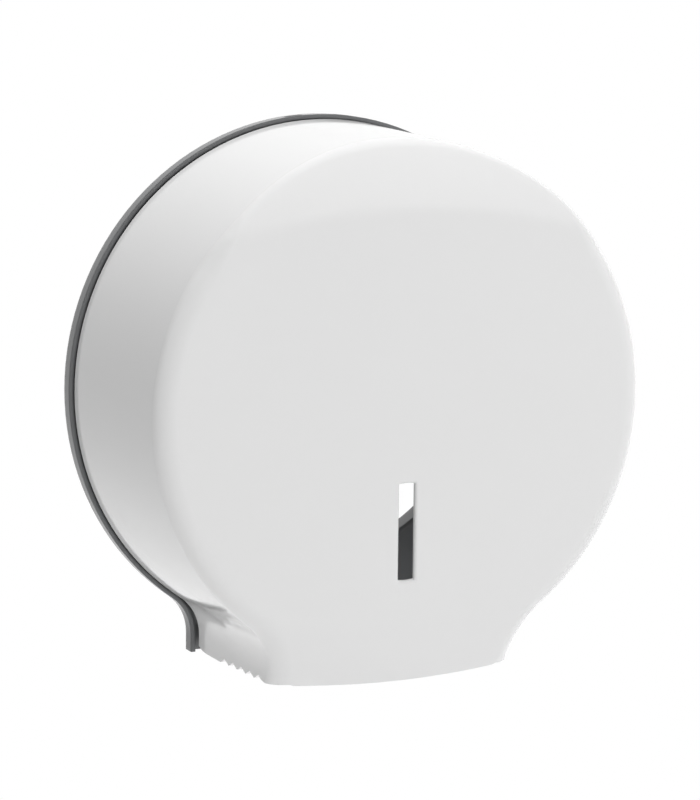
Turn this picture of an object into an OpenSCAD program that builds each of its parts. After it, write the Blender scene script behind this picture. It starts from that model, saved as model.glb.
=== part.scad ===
// Jumbo toilet roll dispenser: a round two-shell housing that hangs on a wall.
// A grey back plate carries the roll hub, the latch and the hinge ears.
// A white drum-shaped cover closes over it and swings down on two bottom pins.
// Frame: millimetres, +Z up, wall plane at y = 0, front towards -Y.
// The origin is where the roll axis meets the wall.

/* [Housing] */
// Radius of the back plate's round outline
plate_r = 140; // [125:1:160]
// Depth of the back plate's rim, from the wall
rim_depth = 7.3; // [6.5:0.1:9]
// Distance from the wall to the flat front face
face_depth = 118; // [110:1:130]
// Half width of the back plate's tongue below the drum
tongue_half = 72; // [66:1:80]
// How far the tongue reaches below the drum's lowest point
tongue_drop = 3.3; // [2:0.1:8]
// Radius of the hollow corner between drum and tongue
neck_r = 25; // [18:1:30]
// Radius that the cover's hollow corners widen to at the front
neck_front_r = 41; // [32:1:46]

/* [Cover] */
// Dark gap between the rim and the cover
seam_gap = 0.8; // [0.5:0.1:1.2]
// Step from the back plate's outline in to the cover's, on the drum
cover_step = 2; // [1.5:0.1:3]
// Step from the tongue's side in to the chute's side
chute_step = 3.5; // [3:0.1:5]
// Wall thickness of the cover
cover_wall = 3; // [2.5:0.1:3.5]
// Draft of the drum's side wall, in degrees
draft = 1.45; // [0.8:0.05:2]
// Radius of the drum's front edge
edge_r = 9; // [6:0.5:12]
// Depth of the thin flange along the seam
flange_depth = 3.5; // [2.5:0.1:5]
// How far the flange stands out from the wall behind it
flange_lip = 0.4; // [0.2:0.1:0.8]

/* [Front face] */
// Height of the upper crease at the middle
brow_z = 100.5; // [90:0.5:108]
// Radius of the upper crease
brow_crease_r = 394; // [330:1:450]
// Radius at which the face rolls back above the crease
brow_roll_r = 106; // [90:1:140]
// Angle at which the upper roll starts, in degrees
brow_start = 10; // [6:1:14]
// Depth of the lower crease below the roll axis
chin_z = 110; // [100:0.5:118]
// Radius of the lower crease
chin_crease_r = 340; // [300:1:400]
// Radius at which the face rolls back below the crease
chin_roll_r = 116; // [100:1:150]
// Angle at which the lower roll starts, in degrees
chin_start = 8; // [5:1:12]
// Width of the level slot
slot_w = 8.8; // [6:0.1:10]
// Height of the level slot
slot_h = 49.5; // [40:0.5:60]
// Distance of the slot's middle below the roll axis
slot_drop = 62.5; // [55:0.5:70]

/* [Paper chute] */
// Gap from the tongue's end up to the chute's lower edge
chute_lift = 1.3; // [0.5:0.1:3]
// Radius of the chute's two front corners
corner_r = 14; // [8:0.5:18]
// Pitch of the tear teeth
tooth_pitch = 11; // [8:0.5:14]
// Height of the tear teeth
tooth_h = 2.4; // [1.5:0.1:3.5]
// Number of teeth in each side's row
tooth_count = 5; // [3:1:5]
// Distance from the wall to the first tooth
tooth_start = 39; // [30:1:45]

/* [Back plate] */
// Thickness of the back plate's floor
floor_t = 2.5; // [2:0.1:3.5]
// Thickness of ribs, rim and collars
rib_t = 2.5; // [1.8:0.1:3.5]
// Distance from the back plate's outline in to its four windows
window_margin = 42; // [40:1:50]
// Inner radius of the four windows
window_in_r = 46; // [42:1:52]
// Half width of the four arms between the windows
arm_half = 20; // [18:0.5:24]
// Depth of the collar round each window
collar_depth = 11; // [8:0.1:12]
// Depth of the upstand that the cover closes over
upstand_depth = 13; // [11:0.5:16]
// Gap between the upstand and the inside of the cover
upstand_gap = 0.9; // [0.5:0.1:1.5]
// Depth of the radial ribs
rib_depth = 5.5; // [4:0.1:7]
// Distance from the outline's side or top in to each wall screw hole
screw_margin = 65; // [62:1:68]
// Diameter of the wall screw holes
screw_d = 6; // [5:0.1:7]
// Outer diameter of the pads round the wall screw holes
pad_d = 16; // [14:0.5:20]

/* [Bottom hinge] */
// Distance from the wall to the hinge axis
hinge_y = 15; // [14.6:0.1:17]
// Height of the hinge axis above the chute's lower edge
hinge_lift = 5; // [4.8:0.1:6]
// Diameter of the hinge pins
pin_d = 4; // [3:0.1:4.5]
// Thickness of the back plate's hinge ears
ear_t = 4; // [3:0.5:5]
// Outer radius of the hinge ears and bosses
boss_r = 4.6; // [4.2:0.1:4.7]
// Length of each hinge boss inside the cover
boss_len = 3.5; // [3:0.5:5]
// Gap between each ear and its boss
ear_gap = 0.4; // [0.2:0.1:0.8]
// Radial play of the pins in the cover's bosses
pin_play = 0.06; // [0.02:0.01:0.09]

/* [Latch] */
// Distance from the middle to each key slot's middle
key_x = 14; // [12:0.5:16]
// Width of the key slots
key_w = 9.2; // [7:0.1:11]
// Thickness of the key slots
key_t = 2.6; // [2:0.1:3]
// Travel of the latch slide
latch_travel = 5; // [4:0.5:6]
// Width of the latch slide
latch_w = 46; // [42:0.5:50]
// Height of the latch slide's plate
latch_h = 22; // [18:0.5:26]
// Thickness of the latch slide's plate
latch_t = 3.8; // [3:0.1:4]
// Play round the latch slide
latch_play = 0.45; // [0.3:0.05:0.6]
// Width of the latch nose
nose_w = 14; // [10:0.5:18]
// Thickness of the latch nose and its barb
nose_t = 3.2; // [2.5:0.1:4]
// Height of the barb above the nose
barb_h = 3.2; // [2.5:0.1:4]
// Gap below the rim where the pressed slide rests
latch_room = 11; // [9:0.5:13]
// Outer diameter of the latch springs
spring_d = 4; // [3.4:0.1:4.4]
// Wire diameter of the latch springs
spring_wire = 0.6; // [0.4:0.05:0.8]
// Length of the latch springs with the slide pressed
spring_len = 11; // [9:0.5:14]
// Number of turns in each latch spring
spring_turns = 8; // [6:1:10]
// Thickness of the guide that holds the slide
guide_t = 2; // [1.5:0.1:3]
// Height of the guide
guide_h = 15; // [12:0.5:18]
// Distance from the cover's rear edge in to the catch
catch_set = 6; // [5:0.5:7]
// Width of the catch on the cover
catch_w = 30; // [26:0.5:36]
// Length of the catch, front to back
catch_len = 20; // [18:0.5:24]
// Thickness of the catch
catch_t = 2; // [1.5:0.1:2.5]
// Height of the catch's turned-down lip
catch_lip = 2.7; // [2:0.1:3.5]

/* [Roll hub] */
// Diameter of the spindle
spindle_d = 12; // [10:0.5:14]
// Radius of the spindle's flange
spindle_flange_r = 30; // [26:1:34]
// Thickness of the spindle's flange
spindle_flange_t = 4; // [3:0.5:6]
// Thickness of the back plate's middle under the flange
seat_t = 6; // [5:0.5:8]
// Length of the rotating hub
hub_len = 81; // [70:1:88]
// Outer diameter of the hub's barrel, just under the roll core's bore
hub_d = 43; // [40:0.5:44]
// Wall thickness of the hub's barrel
hub_wall = 2.2; // [1.8:0.1:3]
// Outer diameter of the hub's inner tube
hub_tube_d = 18; // [16:0.5:20]
// Number of webs between the hub's tube and barrel
web_count = 6; // [4:1:8]
// Thickness of the webs
web_t = 2; // [1.6:0.1:3]
// Length of the bevel at the hub's front end
hub_bevel = 4; // [2:0.5:6]
// Radius of the disc behind the barrel
hub_disc_r = 37; // [32:1:42]
// Thickness of the disc behind the barrel
hub_disc_t = 2.6; // [2:0.1:4]
// Radial play of the hub on the spindle
hub_play = 0.07; // [0.03:0.01:0.09]
// Thickness of the friction washer behind the hub
friction_t = 1.2; // [0.8:0.1:2]
// Thickness of the spring washer
spring_washer_t = 0.8; // [0.5:0.1:1]
// Radius of the washer in front of the hub
hub_washer_r = 11; // [9:0.5:12]
// Thickness of the washer in front of the hub
hub_washer_t = 1.5; // [1:0.1:2]
// End play of the hub
hub_end_play = 0.3; // [0.2:0.1:0.6]

/* [Screws] */
// Shank diameter of the small screws
screw_shank_d = 3; // [2.5:0.1:3.5]
// Head diameter of the small screws
screw_head_d = 5.6; // [5:0.1:6.5]
// Head height of the small screws
screw_head_h = 2; // [1.5:0.1:2.4]
// Shank diameter of the hub screw
hub_screw_d = 5; // [4:0.5:6]
// Head diameter of the hub screw
hub_screw_head_d = 13; // [11:0.5:16]
// Head height of the hub screw
hub_screw_head_h = 4; // [3:0.5:5]

/* [Hidden] */
eps = 0.01;
cut = 1;
arc_steps = 8;
seat_gap = 0.05;
catch_gap = 1;

// Cover, worked out from the back plate
cover_rear = rim_depth + seam_gap;
cover_r = plate_r - cover_step;
chute_half = tongue_half - chute_step;
tongue_bottom = -(plate_r + tongue_drop);
chute_bottom = tongue_bottom + chute_lift;
wall_r = cover_r - flange_lip;
chute_top = -plate_r / 2;
window_r = plate_r - window_margin;
screw_place = plate_r - screw_margin;

// Hinge
hinge_z = chute_bottom + hinge_lift;
hinge_sweep_r = hinge_y - cover_rear;
boss_x = chute_half - cover_wall - flange_lip;
ear_x = boss_x - boss_len - ear_gap;
pin_start = ear_x - ear_t;
pin_end = boss_x + cover_wall * 0.4;
bore_end = pin_end + ear_gap;

// Latch, drawn pressed down as the key holds it
latch_top = plate_r - rib_t - latch_room;
latch_bottom = latch_top - latch_h;
latch_back = floor_t + latch_play;
latch_front = latch_back + latch_t;
key_y = latch_back + latch_t / 2;
nose_top = latch_top - barb_h - nose_t;
nose_bottom = nose_top - nose_t;
guide_back = latch_front + latch_play;
guide_half = latch_w / 2 + latch_play + pad_d / 2;
guide_top = nose_bottom - latch_play * 2;
guide_screw_x = latch_w / 2 + latch_play + pad_d / 4;
guide_screw_z = guide_top - guide_h / 2;
spring_seat = latch_bottom - spring_len;
catch_back = cover_rear + catch_set;
catch_under = nose_top + latch_travel + catch_gap;
catch_plate_z = catch_under + catch_lip;
barb_back = catch_back + catch_t + catch_gap;
catch_screw_x = catch_w / 3;
catch_screw_y = catch_back + catch_len * 0.7;
catch_top = catch_plate_z + catch_t;

// Roll hub
flange_front = seat_t + spindle_flange_t;
friction_front = flange_front + seat_gap + friction_t;
spring_front = friction_front + seat_gap + spring_washer_t;
hub_back = spring_front + hub_end_play;
hub_front = hub_back + hub_len;
spindle_end = hub_front + hub_end_play;
washer_front = spindle_end + hub_washer_t;
spindle_screw_r = (spindle_flange_r + spindle_d / 2) / 2 + screw_shank_d;
screw_seat = flange_front - screw_head_h - seat_gap;
hub_screw_len = 3 * hub_screw_d;

// Fits of the small screws and pegs
press_play = 0.02;
free_fit = 0.4;
pilot_d = screw_shank_d + seat_gap;
peg_d = spring_d - 2 * spring_wire - free_fit;
peg_h = spring_len / 4;
guide_boss_d = pad_d / 2;
catch_boss_d = 2 * screw_shank_d;
thin_rib = rib_t * 0.7;
rib_angle = 22.5;

$fn = 96;

// ---------- helpers ----------

// Stands a flat XZ drawing up and gives it depth from y = -near to y = -far.
module along_y(near, far) {
  translate([0, -near, 0])
    rotate([90, 0, 0])
      linear_extrude(height = far - near)
        children();
}

// Turns a drawing of radius against depth round the roll axis.
module round_y(segments = 180) {
  rotate([90, 0, 0])
    rotate_extrude($fn = segments)
      children();
}

// Gives a flat YZ drawing width from x = x0 to x = x1.
module along_x(x0, x1) {
  translate([x0, 0, 0])
    rotate([90, 0, 90])
      linear_extrude(height = x1 - x0)
        children();
}

// A rod of radius r along X between two places.
module rod_x(x0, x1, r) {
  translate([x0, 0, 0])
    rotate([0, 90, 0])
      cylinder(h = x1 - x0, r = r);
}

// Points of an arc, from angle a0 to a1.
function arc(cx, cy, r, a0, a1, steps = arc_steps) =
  [for (i = [0 : steps]) let (a = a0 + (a1 - a0) * i / steps) [cx + r * cos(a), cy + r * sin(a)]];

function flip(points) =
  [for (i = [len(points) - 1 : -1 : 0]) [-points[i][0], points[i][1]]];

// Flat plate with rounded corners, centred.
module rounded_plate(w, h, r) {
  polygon(concat(
    arc(w / 2 - r, h / 2 - r, r, 0, 90, 4),
    arc(r - w / 2, h / 2 - r, r, 90, 180, 4),
    arc(r - w / 2, r - h / 2, r, 180, 270, 4),
    arc(w / 2 - r, r - h / 2, r, 270, 360, 4)
  ));
}

// Middle of a hollow corner that touches a drum of radius r and a side at half.
function neck_at(r, half, hollow) =
  let (x = half + hollow) [x, -sqrt(pow(r + hollow, 2) - pow(x, 2))];

// Round drum outline with a tongue below and hollow corners between them.
module drum_outline(r, half, bottom, hollow) {
  neck = neck_at(r, half, hollow);
  lean = atan2(-neck[1], neck[0]);
  side = concat(arc(neck[0], neck[1], hollow, 180 - lean, 180), [[half, bottom]]);
  circle(r = r, $fn = 180);
  polygon(concat([[0, 0]], side, flip(side)));
}

// Radius of the cover's drum wall at a distance from the wall.
function wall_radius(depth) = wall_r - (depth - cover_rear) * tan(draft);

// Height of the cover's ceiling above the catch's screws.
catch_roof = sqrt(pow(wall_radius(catch_screw_y) - cover_wall, 2) - pow(catch_screw_x, 2));

// Drum with a drafted side and a rounded front edge, shrunk by inset on every side.
module drum_body(near, inset) {
  edge_x = wall_radius(face_depth - edge_r) - edge_r / cos(draft);
  edge_depth = face_depth - edge_r;
  start = [wall_radius(near) - inset / cos(draft), near];
  edge = arc(edge_x, edge_depth, edge_r - inset, draft, 90);
  round_y()
    polygon(concat([[0, near], start], edge, [[0, face_depth - inset]]));
}

// Disc far larger than the housing, whose face rolls back beyond one crease.
module roll_off(centre_z, crease_r, roll_r, start, inset) {
  roll_end = 45;
  roll_x = crease_r - roll_r * sin(start);
  roll_depth = face_depth - inset - roll_r * cos(start);
  roll = arc(roll_x, roll_depth, roll_r, 90 - roll_end, 90 - start);
  rim = roll_x + roll_r * sin(roll_end);
  translate([0, 0, centre_z])
    round_y(240)
      polygon(concat([[0, 0], [rim, 0]], roll, [[0, face_depth - inset]]));
}

// Everything behind the front face, with its upper and lower rolls.
module behind_face(inset) {
  intersection() {
    roll_off(brow_z - brow_crease_r, brow_crease_r, brow_roll_r, brow_start, inset);
    roll_off(chin_crease_r - chin_z, chin_crease_r, chin_roll_r, chin_start, inset);
  }
}

// Paper chute below the drum, rounded at its two front corners.
module chute_body(near, inset, bottom) {
  half = chute_half - flange_lip - inset;
  corner_x = chute_half - flange_lip - corner_r;
  corner_y = -(face_depth - corner_r);
  corner = arc(corner_x, corner_y, corner_r - inset, 0, -90);
  side = concat([[half, -near]], corner);
  translate([0, 0, bottom])
    linear_extrude(height = chute_top - bottom)
      polygon(concat(side, flip(side)));
}

// A flat triangle from the middle to the middles of both hollow corners.
module neck_fill(near, far, neck) {
  along_y(near, far)
    polygon([[0, 0], neck, [-neck[0], neck[1]]]);
}

// Hollow corners between the drum and the chute, widening to the front and flared at the face.
module neck_body(near, inset) {
  half = chute_half - flange_lip;
  flare_depth = face_depth - corner_r;
  rear = neck_at(wall_radius(cover_rear), half, neck_r);
  front = neck_at(wall_radius(flare_depth), half, neck_front_r);
  flare = arc(neck_front_r + corner_r, flare_depth, corner_r - inset, 180, 90);
  difference() {
    union() {
      hull() {
        neck_fill(near, cover_rear + eps, rear);
        neck_fill(flare_depth - eps, flare_depth, front);
      }
      neck_fill(flare_depth - eps, face_depth - inset, front);
    }
    for (side = [-1, 1]) {
      hull() {
        translate([side * rear[0], 0, rear[1]])
          along_y(near - cut, cover_rear + eps)
            circle(r = neck_r + inset);
        translate([side * front[0], 0, front[1]])
          along_y(flare_depth - eps, flare_depth)
            circle(r = neck_front_r + inset);
      }
      translate([side * front[0], 0, front[1]])
        round_y()
          polygon(concat(
            [[0, flare_depth - eps]],
            flare,
            [[neck_front_r + corner_r, face_depth + cut], [0, face_depth + cut]]
          ));
    }
  }
}

module cover_form(near, inset, bottom) {
  intersection() {
    union() {
      drum_body(near, inset);
      chute_body(near, inset, bottom);
      neck_body(near, inset);
    }
    behind_face(inset);
  }
}

// Level slot, with ends that bow out slightly.
module level_slot() {
  bow = slot_w * 2.4;
  half_angle = asin(slot_w / 2 / bow);
  end_z = slot_h / 2 - bow;
  top = arc(0, end_z, bow, 90 - half_angle, 90 + half_angle, 4);
  bottom = arc(0, -end_z, bow, 270 - half_angle, 270 + half_angle, 4);
  translate([0, 0, -slot_drop])
    along_y(face_depth - cover_wall - cut, face_depth + cut)
      polygon(concat(top, bottom));
}

// Notches that leave a row of tear teeth on both lower edges of the chute.
module tooth_notches() {
  for (i = [0 : tooth_count - 1]) {
    near = tooth_start + i * tooth_pitch;
    translate([0, 0, chute_bottom])
      along_x(-tongue_half, tongue_half)
        polygon([
          [-near, 0],
          [-near, -cut],
          [-near - tooth_pitch, -cut],
          [-near - tooth_pitch, 0],
          [-near - tooth_pitch / 2, tooth_h]
        ]);
  }
}

// ---------- hinge ----------

module at_hinge() {
  translate([0, -hinge_y, hinge_z])
    children();
}

module both_sides() {
  children();
  mirror([1, 0, 0])
    children();
}

// Lower rear corners of the cover, taken off so that they swing clear of the rim.
module hinge_relief() {
  at_hinge()
    difference() {
      translate([-plate_r, 0, -plate_r])
        cube([2 * plate_r, hinge_y, plate_r]);
      rod_x(-plate_r - cut, plate_r + cut, hinge_sweep_r);
    }
}

// Ear on the back plate's floor, braced above.
module hinge_ear() {
  foot = hinge_y - floor_t / 2;
  at_hinge()
    along_x(ear_x - ear_t, ear_x) {
      circle(r = boss_r);
      polygon([[0, -boss_r], [foot, -boss_r], [foot, 2.2 * boss_r], [0, boss_r]]);
    }
}

module hinge_pin(side) {
  r = pin_d / 2;
  bevel = pin_d / 10;
  len = pin_end - pin_start;
  at_hinge()
    translate([side * pin_start, 0, 0])
      rotate([0, side * 90, 0])
        rotate_extrude()
          polygon([[0, 0], [r - bevel, 0], [r, bevel], [r, len - bevel], [r - bevel, len], [0, len]]);
}

// ---------- cover ----------

module catch_screws_at() {
  for (side = [-1, 1])
    translate([side * catch_screw_x, -catch_screw_y, 0])
      children();
}

module cover() {
  color("white")
    difference() {
      union() {
        difference() {
          union() {
            cover_form(cover_rear, 0, chute_bottom);
            along_y(cover_rear, cover_rear + flange_depth)
              drum_outline(cover_r, chute_half, chute_bottom, neck_r);
          }
          cover_form(cover_rear - cut, cover_wall, chute_bottom - cut);
        }
        at_hinge()
          both_sides()
            rod_x(boss_x - boss_len, boss_x + cover_wall / 2, boss_r);
        catch_screws_at()
          translate([0, 0, catch_top])
            cylinder(h = catch_roof + cover_wall / 2 - catch_top, d = catch_boss_d);
      }
      level_slot();
      tooth_notches();
      hinge_relief();
      at_hinge()
        both_sides()
          rod_x(boss_x - boss_len - cut, bore_end, pin_d / 2 + pin_play);
      catch_screws_at()
        translate([0, 0, catch_top - cut])
          cylinder(h = catch_roof + cover_wall / 2 - catch_top + cut, d = pilot_d);
    }
}

// ---------- back plate ----------

// One flat drawing of the four windows, grown by grow on every side.
module windows(grow) {
  difference() {
    circle(r = window_r + grow, $fn = 180);
    circle(r = window_in_r - grow);
    for (turn = [0, 90])
      rotate(turn)
        square([2 * plate_r, 2 * (arm_half - grow)], center = true);
  }
}

// Upstand inside the cover, left out at the latch and below the middle.
module upstand_outline() {
  outer = wall_radius(upstand_depth) - cover_wall - upstand_gap;
  difference() {
    circle(r = outer, $fn = 180);
    circle(r = outer - rib_t, $fn = 180);
    translate([-plate_r, -1.25 * plate_r])
      square([2 * plate_r, plate_r]);
    translate([-guide_half, 0])
      square([2 * guide_half, plate_r]);
  }
}

// Ribs from the windows' collar out to the rim, left out at the latch and the tongue.
module radial_ribs() {
  for (a = [0 : rib_angle : 359])
    if (abs(a - 90) > rib_angle && abs(a - 270) > 2 * rib_angle)
      rotate(a)
        translate([window_r + rib_t / 2, -thin_rib / 2])
          square([plate_r - window_r - rib_t, thin_rib]);
  for (x = [-1, 0, 1])
    translate([x * tongue_half / 2 - thin_rib / 2, tongue_bottom + rib_t])
      square([thin_rib, -tongue_bottom - window_r - rib_t]);
}

module wall_screws_at() {
  for (x = [-screw_place, screw_place])
    for (z = [-screw_place, screw_place])
      translate([x, z])
        children();
}

module spindle_screws_at() {
  for (i = [0 : 2])
    rotate(90 + i * 120)
      translate([spindle_screw_r, 0])
        children();
}

module guide_screws_at() {
  for (side = [-1, 1])
    translate([side * guide_screw_x, guide_screw_z])
      children();
}

module springs_at() {
  for (side = [-1, 1])
    translate([side * key_x, -key_y, 0])
      children();
}

// Shelves with pegs that the latch springs stand on.
module spring_shelves() {
  shelf_w = spring_d + 2 * rib_t;
  for (side = [-1, 1])
    translate([side * key_x - shelf_w / 2, -guide_back, spring_seat - rib_t])
      cube([shelf_w, guide_back - floor_t / 2, rib_t]);
  springs_at()
    translate([0, 0, spring_seat - eps])
      cylinder(h = peg_h, d = peg_d);
}

// Hollow behind the middle seat, with solid bosses left round its screws.
module seat_hollow() {
  difference() {
    circle(r = window_in_r - 2 * rib_t);
    circle(r = spindle_d / 2 + rib_t);
    spindle_screws_at()
      circle(r = screw_shank_d / 2 + rib_t);
  }
}

module key_slots() {
  for (side = [-1, 1])
    translate([side * key_x - key_w / 2, -key_y - key_t / 2, latch_top])
      cube([key_w, key_t, plate_r - latch_top + cut]);
}

module back_plate() {
  color("dimgray")
    difference() {
      union() {
        along_y(0, floor_t)
          drum_outline(plate_r, tongue_half, tongue_bottom, neck_r);
        along_y(0, rim_depth)
          difference() {
            drum_outline(plate_r, tongue_half, tongue_bottom, neck_r);
            drum_outline(plate_r - rib_t, tongue_half - rib_t, tongue_bottom - cut, neck_r + rib_t);
          }
        along_y(0, collar_depth)
          windows(rib_t);
        along_y(0, seat_t)
          circle(r = window_in_r - rib_t);
        along_y(floor_t / 2, upstand_depth)
          upstand_outline();
        along_y(floor_t / 2, rib_depth)
          radial_ribs();
        along_y(floor_t / 2, rib_depth)
          wall_screws_at()
            circle(d = pad_d);
        along_y(floor_t / 2, guide_back)
          guide_screws_at()
            circle(d = guide_boss_d);
        spring_shelves();
        both_sides()
          hinge_ear();
      }
      along_y(-cut, collar_depth + cut)
        windows(0);
      along_y(-cut, rib_depth + cut)
        wall_screws_at()
          circle(d = screw_d);
      along_y(-cut, seat_t - floor_t)
        seat_hollow();
      along_y(floor_t / 4, seat_t + cut)
        spindle_screws_at()
          circle(d = pilot_d);
      along_y(floor_t / 2, guide_back + cut)
        guide_screws_at()
          circle(d = pilot_d);
      key_slots();
      at_hinge()
        both_sides()
          rod_x(ear_x - ear_t - cut, ear_x + cut, pin_d / 2 + press_play);
    }
}

// ---------- latch ----------

module latch_slide() {
  barb = [
    [-barb_back, nose_top - eps],
    [-barb_back, nose_top + barb_h],
    [-barb_back - nose_t / 3, nose_top + barb_h],
    [-barb_back - nose_t, nose_top - eps]
  ];
  color("slategray") {
    along_y(latch_back, latch_front)
      translate([0, latch_top - latch_h / 2])
        rounded_plate(latch_w, latch_h, rib_t);
    translate([-nose_w / 2, -barb_back - nose_t, nose_bottom])
      cube([nose_w, barb_back + nose_t - latch_back - latch_t / 2, nose_t]);
    along_x(-nose_w / 2, nose_w / 2)
      polygon(barb);
    springs_at()
      translate([0, 0, latch_bottom - peg_h])
        cylinder(h = peg_h + eps, d = peg_d);
  }
}

// Round wire wound into an upright coil between the shelf and the slide.
module latch_spring(side) {
  wire_r = spring_wire / 2;
  coil_r = spring_d / 2 - wire_r;
  sides = 6;
  rings = 12 * spring_turns;
  rise = spring_len - 2 * (wire_r + seat_gap);
  points = [
    for (i = [0 : rings])
      let (turn = 30 * i, z = spring_seat + wire_r + seat_gap + rise * i / rings)
        for (k = [0 : sides - 1])
          let (a = 360 * k / sides, r = coil_r + wire_r * cos(a))
            [r * cos(turn), r * sin(turn), z + wire_r * sin(a)]
  ];
  tube = [
    for (i = [0 : rings - 1])
      for (k = [0 : sides - 1])
        let (n = (k + 1) % sides)
          [i * sides + k, i * sides + n, (i + 1) * sides + n, (i + 1) * sides + k]
  ];
  ends = [
    [for (k = [sides - 1 : -1 : 0]) k],
    [for (k = [0 : sides - 1]) rings * sides + k]
  ];
  color("silver")
    translate([side * key_x, -key_y, 0])
      polyhedron(points = points, faces = concat(tube, ends), convexity = 10);
}

module latch_guide() {
  color("slategray")
    along_y(guide_back, guide_back + guide_t)
      difference() {
        translate([0, guide_screw_z])
          rounded_plate(2 * guide_half, guide_h, rib_t);
        guide_screws_at()
          circle(d = screw_shank_d + free_fit);
      }
}

module cover_catch() {
  color("silver") {
    difference() {
      translate([0, -catch_back - catch_len / 2, catch_plate_z])
        linear_extrude(height = catch_t)
          rounded_plate(catch_w, catch_len, catch_t / 2);
      catch_screws_at()
        translate([0, 0, catch_plate_z - cut])
          cylinder(h = catch_t + 2 * cut, d = screw_shank_d + free_fit);
    }
    translate([catch_t / 2 - catch_w / 2, -catch_back - catch_t, catch_under])
      cube([catch_w - catch_t, catch_t, catch_lip + eps]);
  }
}

// ---------- roll hub ----------

module spindle() {
  r = spindle_d / 2;
  bevel = 0.6;
  color("silver")
    difference() {
      round_y()
        polygon([
          [0, seat_t],
          [spindle_flange_r, seat_t],
          [spindle_flange_r, flange_front - bevel],
          [spindle_flange_r - bevel, flange_front],
          [r, flange_front],
          [r, spindle_end - bevel],
          [r - bevel, spindle_end],
          [0, spindle_end]
        ]);
      along_y(seat_t - cut, flange_front + cut)
        spindle_screws_at()
          circle(d = screw_shank_d + free_fit);
      along_y(screw_seat, flange_front + cut)
        spindle_screws_at()
          circle(d = screw_head_d + free_fit);
      along_y(spindle_end - hub_screw_len - cut, spindle_end + cut)
        circle(d = hub_screw_d + press_play);
    }
}

module friction_washer() {
  color("black")
    round_y()
      translate([spindle_d / 2 + free_fit, flange_front + seat_gap])
        square([hub_tube_d / 2, friction_t]);
}

module spring_washer() {
  inner = spindle_d / 2 + free_fit;
  outer = hub_tube_d / 2 + inner - spindle_d / 4;
  half_t = spring_washer_t / 2;
  back = friction_front + seat_gap;
  color("silver")
    round_y()
      polygon([
        [inner, back + half_t],
        [outer, back],
        [outer, back + half_t],
        [inner, back + spring_washer_t]
      ]);
}

module roll_hub() {
  barrel_r = hub_d / 2;
  core_r = barrel_r - hub_wall;
  tube_r = hub_tube_d / 2;
  disc_front = hub_back + hub_disc_t;
  bevel_depth = hub_bevel / 2;
  disc_bevel = 1;
  bevel_start = hub_front - hub_bevel;
  color("gainsboro")
    difference() {
      union() {
        round_y()
          polygon([
            [0, hub_back],
            [hub_disc_r - disc_bevel, hub_back],
            [hub_disc_r, hub_back + disc_bevel],
            [hub_disc_r, disc_front],
            [barrel_r, disc_front],
            [barrel_r, bevel_start],
            [barrel_r - bevel_depth, hub_front],
            [core_r - bevel_depth, hub_front],
            [core_r - bevel_depth, bevel_start],
            [core_r, bevel_start - hub_bevel],
            [core_r, disc_front],
            [tube_r, disc_front],
            [tube_r, hub_front],
            [0, hub_front]
          ]);
        along_y(disc_front - eps, bevel_start)
          for (i = [0 : web_count - 1])
            rotate(i * 360 / web_count)
              translate([tube_r - bevel_depth, -web_t / 2])
                square([core_r + bevel_depth / 2 - tube_r + bevel_depth, web_t]);
      }
      along_y(hub_back - cut, hub_front + cut)
        circle(r = spindle_d / 2 + hub_play);
    }
}

module hub_washer() {
  color("silver")
    round_y()
      translate([hub_screw_d / 2 + free_fit / 2, spindle_end])
        square([hub_washer_r - hub_screw_d / 2 - free_fit / 2, hub_washer_t]);
}

// ---------- screws ----------

// Pan-head screw along Z with its head up and its head's underside at z = 0.
module pan_screw(head_d, head_h, shank_d, shank_len) {
  recess_w = head_d / 7;
  recess_len = head_d * 0.55;
  difference() {
    rotate_extrude()
      polygon([
        [0, -shank_len],
        [shank_d * 0.3, -shank_len],
        [shank_d / 2, -shank_len + shank_d * 0.3],
        [shank_d / 2, 0],
        [head_d / 2, 0],
        [head_d / 2, head_h * 0.5],
        [head_d * 0.36, head_h],
        [0, head_h]
      ]);
    for (turn = [0, 90])
      rotate(turn)
        translate([-recess_len / 2, -recess_w / 2, head_h * 0.45])
          cube([recess_len, recess_w, head_h]);
  }
}

module small_screw(shank_len) {
  pan_screw(screw_head_d, screw_head_h, screw_shank_d, shank_len);
}

// Turns a screw so that its head faces front, its underside at the given depth.
module facing_front(depth) {
  translate([0, -depth, 0])
    rotate([90, 0, 0])
      children();
}

module latch_guide_screws() {
  color("silver")
    facing_front(guide_back + guide_t)
      guide_screws_at()
        small_screw(guide_t + guide_back - floor_t);
}

module cover_catch_screws() {
  color("silver")
    catch_screws_at()
      translate([0, 0, catch_plate_z])
        rotate([180, 0, 0])
          small_screw(catch_roof + cover_wall / 3 - catch_plate_z);
}

module spindle_screws() {
  color("silver")
    facing_front(screw_seat)
      spindle_screws_at()
        small_screw(screw_seat - floor_t / 2);
}

module hub_screw() {
  color("silver")
    facing_front(washer_front)
      pan_screw(hub_screw_head_d, hub_screw_head_h, hub_screw_d, hub_washer_t + hub_screw_len - cut);
}

// ---------- assembly ----------

back_plate();
cover();
hinge_pin(-1);  // hinge_pin_left
hinge_pin(1);  // hinge_pin_right
latch_slide();
latch_spring(-1);  // latch_spring_left
latch_spring(1);  // latch_spring_right
latch_guide();
latch_guide_screws();
cover_catch();
cover_catch_screws();
spindle();
spindle_screws();
friction_washer();
spring_washer();
roll_hub();
hub_washer();
hub_screw();
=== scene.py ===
import math

import bmesh
import bpy
import numpy as np
from mathutils import Matrix, Vector


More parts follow.
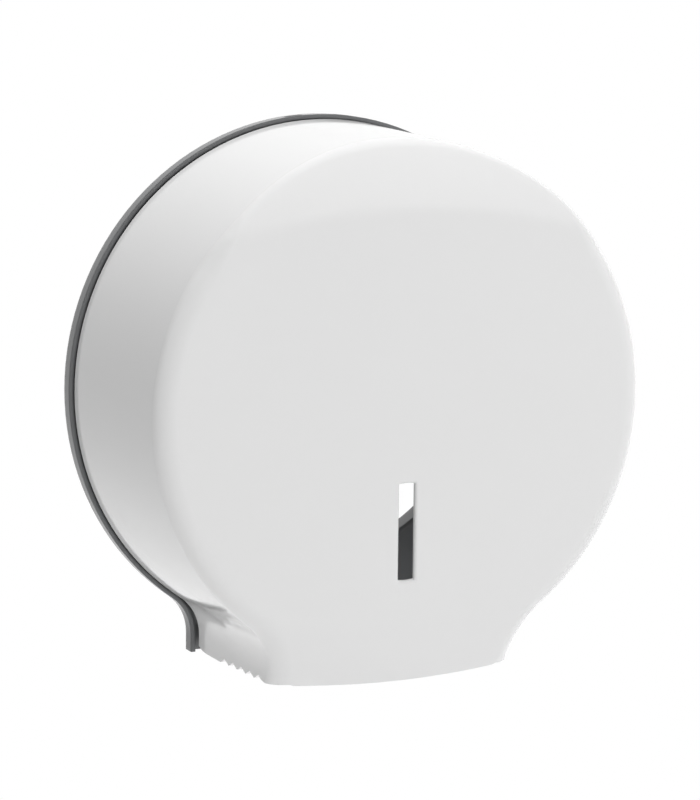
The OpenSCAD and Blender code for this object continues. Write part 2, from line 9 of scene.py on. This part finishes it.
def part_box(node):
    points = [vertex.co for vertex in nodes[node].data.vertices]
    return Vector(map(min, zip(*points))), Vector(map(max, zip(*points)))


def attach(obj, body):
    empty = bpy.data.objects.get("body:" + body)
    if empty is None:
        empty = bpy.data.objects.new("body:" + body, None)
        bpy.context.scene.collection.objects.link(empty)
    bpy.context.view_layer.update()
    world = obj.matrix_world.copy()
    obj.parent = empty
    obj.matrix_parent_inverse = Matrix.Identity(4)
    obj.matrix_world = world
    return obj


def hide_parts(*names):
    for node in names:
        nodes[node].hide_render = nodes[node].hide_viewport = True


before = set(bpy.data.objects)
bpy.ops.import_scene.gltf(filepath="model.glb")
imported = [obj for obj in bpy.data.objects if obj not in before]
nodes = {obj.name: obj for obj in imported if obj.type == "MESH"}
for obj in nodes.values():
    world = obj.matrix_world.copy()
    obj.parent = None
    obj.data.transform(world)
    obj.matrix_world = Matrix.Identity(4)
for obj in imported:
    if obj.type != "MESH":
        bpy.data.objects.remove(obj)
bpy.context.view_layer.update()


# ---------- sizes of the cover, in millimetres: what shows is measured in the photo ----------

# Depth counts from the wall to the front, x to the right and z up from the roll's axis.
FACE = 118.0
REAR = 8.1
WALL_R = 137.6
HALF = 68.1
NECK = 25.0
NECK_FRONT = 41.0
NECK_DEPTH = 104.0
BOTTOM = -142.0
WALL = 3.0
DRAFT = math.tan(math.radians(1.45))

# The face rolls back above the brow and below the chin, each behind a round crease.
BROW_Z = 100.5
BROW_R = 394.0
BROW_SOFTNESS = 1.2
BROW_ANGLE = 16
BROW_ROLL_R = 240
CHIN_Z = -110.0
CHIN_R = 340.0
CHIN_SOFTNESS = 2.5
CHIN_ANGLE = 8
CHIN_ROLL_R = 116
BOW_R = 625.0
BOW_TOP = -104.0

# Rounding between face and side wall, by the angle round the roll's axis in degrees.
EDGE_ANGLES = [-64, -50, 33, 40, 47, 55, 75, 90]
EDGE_DEPTHS = [8.5, 8.5, 8.5, 5.8, 2.2, 2.4, 3.8, 4.5]
EDGE_WIDTHS = [9.5, 10, 10, 6.6, 2.2, 2.4, 3.8, 4.5]
EDGE_LEAST_DEPTH = 2.0
EDGE_LEAST_WIDTH = 3.0

SLOT_HALF_W = 4.4
SLOT_LIP = 1.7
SLOT_LIP_INSIDE = 0.4
SLOT_MID = -62.8
SLOT_HALF_H = 25.05
SLOT_BOW = 0.4

TOOTH_START = 38.0
TOOTH_PITCH = 10.9
TOOTH_H = 2.6
TOOTH_COUNT = 5

# The chute's lower edge is lifted at its rear corner, and arched ahead of a depth: ARCH is its
# rise at the side walls for each millimetre of depth.
HEEL = 10.0
HEEL_RISE = 2.4
ARCH = 0.042
ARCH_START = 37.0

# The rear corner stays within SWEEP_R of the hinge, so that it swings clear of the back plate.
HINGE_DEPTH = 15.0
HINGE_Z = -137.0
SWEEP_R = 6.9
HINGE_BOSS_R = 4.6
HINGE_BOSS_L = 3.5
CATCH_BOSS_R = 3.0
PIN_PLAY = 0.1

# Rounded rear edge of the outer wall: distance ahead of the rear and distance in from the wall.
SEAM_ROUND = ((0.0, 0.7), (0.06, 0.45), (0.2, 0.2), (0.45, 0.05), (0.7, 0.0))


# ---------- how the cover's mesh is drawn ----------

DRUM_POINTS = 200
NECK_POINTS = 28
SIDE_POINTS = 24
BOTTOM_POINTS = 58
BOSS_POINTS = 40
WALL_LEVELS = 12
WALL_DEPTHS = [9.4, 10.2, 11.2, 12.4, 14, 16, 19, 26, 33.5]
EDGE_GAP = 1.0
EDGE_STEPS = 12
OUTER_RINGS = 84
INNER_RINGS = 18
RING_SPACING = 0.9
LIP_ANGLES = range(15, 91, 15)
# How often a depth and a height that follow each other are worked out in turn.
SETTLING = 4
# Distance over which the face's slope is measured.
SLOPE_STEP = 0.5
# Points below this angle round the roll's axis, in radians, belong to the necks and the chute.
CHUTE_ANGLE = -0.9
SHARP_ANGLE = 38
NORMAL_WEIGHT = 80
SLACK = 1e-6
LEAST = 1e-9
MERGE_M = 2e-6
DEGENERATE_M = 1e-6
MM_IN_M = 0.001
M_IN_MM = 1000


# ---------- shape of the cover ----------


def smoothstep(low, high, value):
    """Smooth change from 0 at low to 1 at high, and level beyond both."""
    share = np.clip((value - low) / (high - low), 0.0, 1.0)
    return share * share * (3 - 2 * share)


def roll_drop(beyond, softness, angle, radius):
    """How far a face has rolled back at a distance beyond its softened crease."""
    beyond = 0.5 * (beyond + np.sqrt(beyond * beyond + softness * softness))
    sine = math.sin(math.radians(angle))
    cosine = math.cos(math.radians(angle))
    return radius * cosine - np.sqrt(radius * radius - (beyond + radius * sine) ** 2)


def face_depth(x, z):
    """Depth of the front face at a place, with its upper and lower rolls and the chute's bow."""
    above = np.hypot(x, z - (BROW_Z - BROW_R)) - BROW_R
    below = np.hypot(x, z - (CHIN_Z + CHIN_R)) - CHIN_R
    brow = roll_drop(above, BROW_SOFTNESS, BROW_ANGLE, BROW_ROLL_R)
    chin = roll_drop(below, CHIN_SOFTNESS, CHIN_ANGLE, CHIN_ROLL_R)
    bow = x * x / (2 * BOW_R) * smoothstep(BOW_TOP, BOTTOM, z)
    return FACE - brow - chin - bow


def outline(radius, half, hollow):
    """Points and outward normals, from the chute's lower left end over the top to the right."""
    neck_x = half + hollow
    neck_z = -math.sqrt((radius + hollow) ** 2 - neck_x**2)
    lean = math.atan2(-neck_z, neck_x)
    drum = np.linspace(math.pi / 2, -lean, DRUM_POINTS)
    neck = np.linspace(math.pi - lean, math.pi, NECK_POINTS + 1)[1:]
    side_z = np.linspace(neck_z, BOTTOM, SIDE_POINTS + 1)[1:]
    points = np.concatenate([
        np.stack([radius * np.cos(drum), radius * np.sin(drum)], 1),
        np.stack([neck_x + hollow * np.cos(neck), neck_z + hollow * np.sin(neck)], 1),
        np.stack([np.full(SIDE_POINTS, half), side_z], 1),
    ])
    normals = np.concatenate([
        np.stack([np.cos(drum), np.sin(drum)], 1),
        np.stack([-np.cos(neck), -np.sin(neck)], 1),
        np.tile([1.0, 0.0], (SIDE_POINTS, 1)),
    ])
    mirror = np.array([-1.0, 1.0])
    return [np.concatenate([(right * mirror)[::-1], right[1:]]) for right in (points, normals)]


def edge_sizes(points):
    """Depth and width of the rounded front edge along the outline."""
    angle = np.degrees(np.arctan2(points[:, 1], np.abs(points[:, 0])))
    return np.interp(angle, EDGE_ANGLES, EDGE_DEPTHS), np.interp(angle, EDGE_ANGLES, EDGE_WIDTHS)


def notch(depth):
    """Height of the tear teeth's notches above the chute's lower edge."""
    tooth = (depth - TOOTH_START) / TOOTH_PITCH
    saw = 1 - np.abs(2 * (tooth - np.floor(tooth)) - 1)
    return TOOTH_H * np.where((tooth > 0) & (tooth < TOOTH_COUNT), saw, 0.0)


def lower_edge(x, depth):
    """Height of the chute's lower edge, which is arched more and more towards the front."""
    return BOTTOM + ARCH * np.clip(depth - ARCH_START, 0, None) * (x / HALF) ** 2


def lower_end(depth):
    """Height of the side walls' lower end, with its teeth and the rear corner that swings clear."""
    reach = np.clip(SWEEP_R**2 - (HINGE_DEPTH - depth) ** 2, 0, None)
    rear = np.where(depth < HINGE_DEPTH, HINGE_Z - np.sqrt(reach), BOTTOM)
    heel = BOTTOM + HEEL_RISE * np.clip(1 - (depth - REAR) / HEEL, 0, 1) ** 2
    return np.maximum(lower_edge(HALF, depth) + notch(depth), np.maximum(rear, heel))


def side_wall(inset):
    """Function that gives the side wall's points at a depth, which may differ from point to point."""
    levels = np.linspace(REAR, FACE, WALL_LEVELS)
    necks = np.interp(levels, [REAR, NECK_DEPTH], [NECK, NECK_FRONT])
    stack = np.stack([
        outline(WALL_R - (level - REAR) * DRAFT - inset, HALF - inset, neck + inset)[0]
        for level, neck in zip(levels, necks)
    ])
    count = stack.shape[1]
    every = np.arange(count)

    def wall_at(depth):
        depth = np.broadcast_to(np.asarray(depth, float), (count,))
        place = (depth - REAR) / (FACE - REAR) * (WALL_LEVELS - 1)
        level = np.clip(place.astype(int), 0, WALL_LEVELS - 2)
        share = ((depth - levels[level]) / (levels[1] - levels[0]))[:, None]
        x, z = (stack[level, every] * (1 - share) + stack[level + 1, every] * share).T
        in_chute = np.arctan2(z, np.abs(x)) < CHUTE_ANGLE
        return np.stack([x, -depth, np.where(in_chute, np.maximum(z, lower_end(depth)), z)], 1)

    return wall_at


def rounded(start, corner, end, share):
    """Points on the rounding from start to end, whose tangents there meet in corner."""
    a = (1 - share) ** 2
    b = 2 * share * (1 - share) * math.sqrt(0.5)
    c = share * share
    return (start * a + corner * b + end * c) / (a + b + c)


def side_grid(inset):
    """Side wall and rounded front edge: rows run along the outline, columns from back to front."""
    base, normal = outline(WALL_R, HALF, NECK)
    wall_at = side_wall(inset)

    columns = []
    for ahead, inward in SEAM_ROUND:
        shift = np.insert(normal * (0.0 if inset else inward), 1, 0.0, axis=1)
        columns.append(wall_at(REAR + ahead) - shift)
    depths = list(WALL_DEPTHS)
    for i in range(TOOTH_COUNT):
        depths += [TOOTH_START + i * TOOTH_PITCH, TOOTH_START + (i + 0.5) * TOOTH_PITCH]
    columns += [wall_at(depth) for depth in depths]
    last = depths[-1]

    edge_depth, edge_width = edge_sizes(base)
    edge_depth = np.maximum(edge_depth - 0.5 * inset, EDGE_LEAST_DEPTH)
    edge_width = np.maximum(edge_width - inset, EDGE_LEAST_WIDTH)
    front = np.full(len(base), FACE)
    for _ in range(SETTLING):
        rim = wall_at(front)
        front = face_depth(rim[:, 0], rim[:, 2]) - inset
    start = np.maximum(front - edge_depth, last + EDGE_GAP)
    for share in (0.5, 1.0):
        columns.append(wall_at(last + (start - last) * share))

    inner = np.stack([rim[:, 0], rim[:, 2]], 1) - normal * edge_width[:, None]
    for _ in range(SETTLING):
        inner_depth = face_depth(*inner.T) - inset
        inner[:, 1] = np.maximum(inner[:, 1], lower_edge(inner[:, 0], inner_depth))
    inner_depth = face_depth(*inner.T) - inset
    outward = inner + normal * SLOPE_STEP
    slope = (face_depth(*outward.T) - inset - inner_depth) / SLOPE_STEP
    wall_end = columns[-1]
    corner = wall_at(inner_depth + slope * edge_width)
    face_end = np.stack([inner[:, 0], -inner_depth, inner[:, 1]], 1)
    for k in range(1, EDGE_STEPS + 1):
        columns.append(rounded(wall_end, corner, face_end, k / EDGE_STEPS))
    return np.stack(columns, 1)


def slot_loop(directions, grow):
    """Points of the slot's outline, grown by grow, in the given directions from its middle."""
    half_w = SLOT_HALF_W + grow
    half_h = SLOT_HALF_H + grow
    across, upright = np.maximum(np.abs(directions.T), LEAST)
    reach = np.minimum(half_w / across, (half_h - SLOT_BOW * 0.5) / upright)
    points = directions * reach[:, None]
    for side in (-1, 1):
        for end in (-1, 1):
            corner = np.array([side * half_w, end * (half_h - SLOT_BOW)])
            points[np.argmin(np.hypot(*(points - corner).T))] = corner
    at_end = np.abs(points[:, 0]) < half_w - SLACK
    bow = SLOT_BOW * (points[at_end, 0] / half_w) ** 2
    points[at_end, 1] = np.sign(points[at_end, 1]) * (half_h - bow)
    return points + np.array([0.0, SLOT_MID])


def face_rings(side, inset, rings):
    """Closed rings of points from the rounded edge in to the slot, and round the slot's lip."""
    rim = side[:, -1]
    x = np.linspace(rim[-1, 0], rim[0, 0], BOTTOM_POINTS + 2)[1:-1]
    z = np.full_like(x, BOTTOM)
    for _ in range(SETTLING):
        z = lower_edge(x, face_depth(x, z) - inset)
    bottom = np.stack([x, -(face_depth(x, z) - inset), z], 1)
    outer = np.concatenate([rim, bottom])
    flat = outer[:, [0, 2]]
    directions = flat - np.array([0.0, SLOT_MID])
    directions /= np.hypot(*directions.T)[:, None]
    inner = slot_loop(directions, SLOT_LIP)
    loops = [outer]
    for k in range(1, rings + 1):
        share = (k / rings) ** RING_SPACING
        x, z = (flat * (1 - share) + inner * share).T
        loops.append(np.stack([x, -(face_depth(x, z) - inset), z], 1))
    for angle in LIP_ANGLES:
        sine = math.sin(math.radians(angle))
        cosine = math.cos(math.radians(angle))
        x, z = slot_loop(directions, SLOT_LIP * (1 - sine)).T
        depth = (FACE - inset) + (SLOT_LIP * (1 - cosine)) * (SLOT_LIP_INSIDE if inset else -1)
        loops.append(np.stack([x, np.full(len(x), -depth), z], 1))
    return np.stack(loops)


def grid_quads(rows, cols, first, closed=False, turn=False):
    """Faces of a grid whose points are numbered row by row from first."""
    last_row = rows if closed else rows - 1
    row, col = np.meshgrid(np.arange(last_row), np.arange(cols - 1), indexing="ij")
    here = row * cols + col
    beside = ((row + 1) % rows) * cols + col
    quads = np.stack([here, beside, beside + 1, here + 1], -1).reshape(-1, 4) + first
    return quads[:, ::-1] if turn else quads


def new_object(name, verts, faces, material):
    """Smooth object from points in millimetres, with equal points merged."""
    mesh = bpy.data.meshes.new(name)
    quads = [list(map(int, face)) for face in faces]
    mesh.from_pydata((np.asarray(verts) * MM_IN_M).tolist(), [], quads)
    bm = bmesh.new()
    bm.from_mesh(mesh)
    bmesh.ops.remove_doubles(bm, verts=bm.verts, dist=MERGE_M)
    bmesh.ops.dissolve_degenerate(bm, edges=bm.edges, dist=DEGENERATE_M)
    bmesh.ops.recalc_face_normals(bm, faces=bm.faces)
    for face in bm.faces:
        face.smooth = True
    bm.to_mesh(mesh)
    bm.free()
    mesh.set_sharp_from_angle(angle=math.radians(SHARP_ANGLE))
    mesh.materials.append(material)
    obj = bpy.data.objects.new(name, mesh)
    bpy.context.collection.objects.link(obj)
    return obj


def cover_mesh(material):
    """The cover's outer and inner skin, joined at the rear, the chute's lower end and the slot."""
    verts = []
    faces = []
    first = 0
    skins = []
    for inset, rings in ((0.0, OUTER_RINGS), (WALL, INNER_RINGS)):
        side = side_grid(inset)
        loops = face_rings(side, inset, rings).transpose(1, 0, 2)
        for grid, closed in ((side, False), (loops, True)):
            rows, cols = grid.shape[:2]
            verts.append(grid.reshape(-1, 3))
            faces.append(grid_quads(rows, cols, first, closed=closed, turn=bool(inset)))
            first += rows * cols
        chute_end = np.concatenate([side[0], loops[::-1][:BOTTOM_POINTS, 0], side[-1][::-1]])
        skins.append((side[:, 0], chute_end, loops[:, -1]))
    for outer, inner, closed in zip(*skins, (False, False, True)):
        verts.append(np.stack([outer, inner], 1).reshape(-1, 3))
        faces.append(grid_quads(len(outer), 2, first, closed=closed))
        first += len(outer) * 2
    obj = new_object("cover_shell", np.concatenate(verts), np.concatenate(faces), material)
    normals = obj.modifiers.new("normals", "WEIGHTED_NORMAL")
    normals.keep_sharp = True
    normals.weight = NORMAL_WEIGHT
    return obj


def boss(name, start, end, outer, bore, material):
    """Round boss that grows out of a wall at its end, with a bore that opens at its start."""
    start = Vector(start)
    end = Vector(end)
    turn = (end - start).to_track_quat("Z", "Y").to_matrix()
    around = np.linspace(0, 2 * math.pi, BOSS_POINTS, endpoint=False)
    ring = np.stack([np.cos(around), np.sin(around), 0 * around], 1) @ np.array(turn).T
    profile = ((end, outer), (start, outer), (start, bore), (end, bore))
    loops = [np.array(place) + ring * radius for place, radius in profile]
    faces = grid_quads(BOSS_POINTS, len(profile), 0, closed=True)
    obj = new_object(name, np.stack(loops, 1).reshape(-1, 3), faces, material)
    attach(obj, "cover")


# ---------- materials ----------

# Lengths are in metres, and a scale counts spots per metre.
MOTTLE_SCALE = 14.0
MOTTLE_DETAIL = 3.0
GLOSS_LOW = 0.88
GLOSS_HIGH = 1.12
GRAIN_DETAIL = 2.0
GRAIN_HEIGHT = 0.0002
EDGE_SAMPLES = 8


def plastic(name, colour, roughness, grain, vary, grain_scale=900.0, edge=0.0):
    """Moulded plastic: slight colour and gloss variation, a fine surface grain and soft edges."""
    material = bpy.data.materials.new(name)
    material.use_nodes = True
    tree = material.node_tree
    shader = tree.nodes["Principled BSDF"]
    where = tree.nodes.new("ShaderNodeTexCoord")
    mottle = tree.nodes.new("ShaderNodeTexNoise")
    mottle.inputs["Scale"].default_value = MOTTLE_SCALE
    mottle.inputs["Detail"].default_value = MOTTLE_DETAIL
    spread = tree.nodes.new("ShaderNodeMapRange")
    spread.inputs["To Min"].default_value = 1.0 - vary
    spread.inputs["To Max"].default_value = 1.0 + vary
    tint = tree.nodes.new("ShaderNodeVectorMath")
    tint.operation = "SCALE"
    tint.inputs[0].default_value = colour
    gloss = tree.nodes.new("ShaderNodeMapRange")
    gloss.inputs["To Min"].default_value = roughness * GLOSS_LOW
    gloss.inputs["To Max"].default_value = roughness * GLOSS_HIGH
    fine = tree.nodes.new("ShaderNodeTexNoise")
    fine.inputs["Scale"].default_value = grain_scale
    fine.inputs["Detail"].default_value = GRAIN_DETAIL
    bump = tree.nodes.new("ShaderNodeBump")
    bump.inputs["Strength"].default_value = grain
    bump.inputs["Distance"].default_value = GRAIN_HEIGHT
    tree.links.new(where.outputs["Object"], mottle.inputs["Vector"])
    tree.links.new(mottle.outputs["Fac"], spread.inputs["Value"])
    tree.links.new(spread.outputs["Result"], tint.inputs["Scale"])
    tree.links.new(tint.outputs["Vector"], shader.inputs["Base Color"])
    tree.links.new(mottle.outputs["Fac"], gloss.inputs["Value"])
    tree.links.new(gloss.outputs["Result"], shader.inputs["Roughness"])
    tree.links.new(where.outputs["Object"], fine.inputs["Vector"])
    tree.links.new(fine.outputs["Fac"], bump.inputs["Height"])
    tree.links.new(bump.outputs["Normal"], shader.inputs["Normal"])
    if edge:
        soft_edge = tree.nodes.new("ShaderNodeBevel")
        soft_edge.samples = EDGE_SAMPLES
        soft_edge.inputs["Radius"].default_value = edge
        tree.links.new(soft_edge.outputs["Normal"], bump.inputs["Normal"])
    return material


def steel(name, colour, roughness):
    """Plated steel: the same variation and grain on a bare metal."""
    material = plastic(name, colour, roughness, grain=0.15, vary=0.06, grain_scale=1500.0)
    material.node_tree.nodes["Principled BSDF"].inputs["Metallic"].default_value = 1.0
    return material


white = plastic("white_plastic", (0.80, 0.80, 0.80), 0.1, grain=0.04, vary=0.006, grain_scale=1200.0)
grey = plastic(
    "grey_plastic", (0.14, 0.143, 0.147), 0.15, grain=0.2, vary=0.03, grain_scale=1400.0, edge=0.0022
)
dark = plastic("dark_grey_plastic", (0.08, 0.082, 0.085), 0.45, grain=0.1, vary=0.04)
pale = plastic("light_grey_plastic", (0.52, 0.53, 0.54), 0.45, grain=0.1, vary=0.03)
zinc = steel("zinc_steel", (0.62, 0.62, 0.63), 0.32)
spring = steel("spring_steel", (0.5, 0.5, 0.51), 0.25)
black = plastic("black_rubber", (0.02, 0.02, 0.02), 0.7, grain=0.3, vary=0.1)

looks = {
    "back_plate": grey,
    "hinge_pin_left": zinc,
    "hinge_pin_right": zinc,
    "latch_slide": dark,
    "latch_spring_left": spring,
    "latch_spring_right": spring,
    "latch_guide": dark,
    "latch_guide_screws": zinc,
    "cover_catch": zinc,
    "cover_catch_screws": zinc,
    "spindle": zinc,
    "spindle_screws": zinc,
    "friction_washer": black,
    "spring_washer": spring,
    "roll_hub": pale,
    "hub_washer": zinc,
    "hub_screw": zinc,
}
for name, material in looks.items():
    node = nodes[name]
    if not node.material_slots:
        node.data.materials.append(material)
    for material_slot in node.material_slots:
        material_slot.material = material


# ---------- the cover and its bosses ----------

cover = cover_mesh(white)
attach(cover, "cover")
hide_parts("cover")

catch_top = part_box("cover_catch")[1][2] * M_IN_MM
screw_low, screw_high = (np.array(place) * M_IN_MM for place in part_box("cover_catch_screws"))
screw_y = (screw_low[1] + screw_high[1]) / 2
screw_x = (screw_high[0] - screw_low[0]) / 2 - (screw_high[1] - screw_low[1]) / 2
inner_r = WALL_R - (-screw_y - REAR) * DRAFT - WALL
wall_top = math.sqrt(inner_r**2 - screw_x**2) + WALL / 2
pin_low, pin_high = (np.array(place) * M_IN_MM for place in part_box("hinge_pin_left"))
pin_r = (pin_high[2] - pin_low[2]) / 2
inside = HALF - WALL
for side, word in ((-1, "left"), (1, "right")):
    boss(
        "cover_hinge_boss_" + word,
        (side * (inside - HINGE_BOSS_L), -HINGE_DEPTH, HINGE_Z),
        (side * (inside + WALL / 2), -HINGE_DEPTH, HINGE_Z),
        HINGE_BOSS_R,
        pin_r + PIN_PLAY,
        white,
    )
    boss(
        "cover_catch_boss_" + word,
        (side * screw_x, screw_y, catch_top),
        (side * screw_x, screw_y, wall_top),
        CATCH_BOSS_R,
        CATCH_BOSS_R / 2,
        white,
    )


# ---------- stage, light and camera, in metres ----------

WHITE = (1, 1, 1, 1)
FLOOR_COLOUR = (0.8, 0.8, 0.8, 1)
FLOOR_ROUGHNESS = 0.9
FLOOR_HALF = 30
FLOOR_BACK = 60
FLOOR_Z = -1.2
LAMP_DISTANCE = 1.7
LAMP_SIZE = 1.1
AZIMUTH = math.radians(-25.39)
ELEVATION = math.radians(9.34)
ROLL = math.radians(0.61)
TARGET = Vector((0.0232, 0.0, -0.0147))
CAMERA_DISTANCE = 1.6817
SENSOR_MM = 36.0
LENS_MM = 160.54


def white_to_camera(tree, shader, out):
    """Plain white for camera, glossy and transmission rays; other rays meet the given shader."""
    path = tree.nodes.new("ShaderNodeLightPath")
    camera_or_glossy = tree.nodes.new("ShaderNodeMath")
    camera_or_glossy.operation = "MAXIMUM"
    seen = tree.nodes.new("ShaderNodeMath")
    seen.operation = "MAXIMUM"
    mix = tree.nodes.new("ShaderNodeMixShader")
    glow = tree.nodes.new("ShaderNodeBackground" if out == "World Output" else "ShaderNodeEmission")
    glow.inputs["Color"].default_value = WHITE
    glow.inputs["Strength"].default_value = 1.0
    tree.links.new(path.outputs["Is Camera Ray"], camera_or_glossy.inputs[0])
    tree.links.new(path.outputs["Is Glossy Ray"], camera_or_glossy.inputs[1])
    tree.links.new(camera_or_glossy.outputs[0], seen.inputs[0])
    tree.links.new(path.outputs["Is Transmission Ray"], seen.inputs[1])
    tree.links.new(seen.outputs[0], mix.inputs[0])
    tree.links.new(shader.outputs[0], mix.inputs[1])
    tree.links.new(glow.outputs[0], mix.inputs[2])
    tree.links.new(mix.outputs[0], tree.nodes[out].inputs["Surface"])


world = bpy.data.worlds.new("studio")
bpy.context.scene.world = world
world.use_nodes = True
background = world.node_tree.nodes["Background"]
background.inputs["Color"].default_value = WHITE
background.inputs["Strength"].default_value = 0.0
white_to_camera(world.node_tree, background, "World Output")

floor_corners = [
    (-FLOOR_HALF, -FLOOR_HALF, FLOOR_Z),
    (FLOOR_HALF, -FLOOR_HALF, FLOOR_Z),
    (FLOOR_HALF, FLOOR_BACK, FLOOR_Z),
    (-FLOOR_HALF, FLOOR_BACK, FLOOR_Z),
]
floor_mesh = bpy.data.meshes.new("floor")
floor_mesh.from_pydata(floor_corners, [], [(0, 1, 2, 3)])
floor = bpy.data.objects.new("floor", floor_mesh)
bpy.context.collection.objects.link(floor)
floor_look = bpy.data.materials.new("floor")
floor_look.use_nodes = True
floor_bsdf = floor_look.node_tree.nodes["Principled BSDF"]
floor_bsdf.inputs["Base Color"].default_value = FLOOR_COLOUR
floor_bsdf.inputs["Roughness"].default_value = FLOOR_ROUGHNESS
white_to_camera(floor_look.node_tree, floor_bsdf, "Material Output")
floor_mesh.materials.append(floor_look)


def softbox(name, azimuth, elevation, level):
    """Square lamp aimed at the object; level is the light it gives a matt surface facing it."""
    turn = math.radians(azimuth)
    rise = math.radians(elevation)
    flat = math.cos(rise)
    way = Vector((flat * math.cos(turn), flat * math.sin(turn), math.sin(rise)))
    lamp = bpy.data.lights.new(name, "AREA")
    lamp.size = LAMP_SIZE
    lamp.energy = math.pi**2 * LAMP_DISTANCE**2 * level
    obj = bpy.data.objects.new(name, lamp)
    obj.location = way * LAMP_DISTANCE
    obj.rotation_euler = way.to_track_quat("Z", "Y").to_euler()
    obj.visible_camera = False
    obj.visible_glossy = False
    bpy.context.collection.objects.link(obj)


softbox("top", azimuth=90, elevation=85, level=0.75)
softbox("front_high", azimuth=-90, elevation=50, level=0.57)
softbox("front_right", azimuth=-40, elevation=-10, level=0.37)
softbox("right", azimuth=15, elevation=-10, level=0.62)
softbox("left", azimuth=180, elevation=-20, level=0.29)
softbox("front_low", azimuth=-110, elevation=-40, level=0.485)

back = Vector((
    math.sin(AZIMUTH) * math.cos(ELEVATION),
    -math.cos(AZIMUTH) * math.cos(ELEVATION),
    math.sin(ELEVATION),
))
level_right = (-back).cross(Vector((0, 0, 1))).normalized()
level_up = level_right.cross(-back)
right = level_right * math.cos(ROLL) + level_up * math.sin(ROLL)
up = level_up * math.cos(ROLL) - level_right * math.sin(ROLL)
facing = Matrix((right, up, back)).transposed().to_4x4()
camera_data = bpy.data.cameras.new("camera")
camera_data.sensor_fit = "HORIZONTAL"
camera_data.sensor_width = SENSOR_MM
camera_data.lens = LENS_MM
camera = bpy.data.objects.new("camera", camera_data)
camera.matrix_world = Matrix.Translation(TARGET + back * CAMERA_DISTANCE) @ facing
bpy.context.collection.objects.link(camera)
bpy.context.scene.camera = camera
bpy.context.scene.view_settings.view_transform = "Standard"
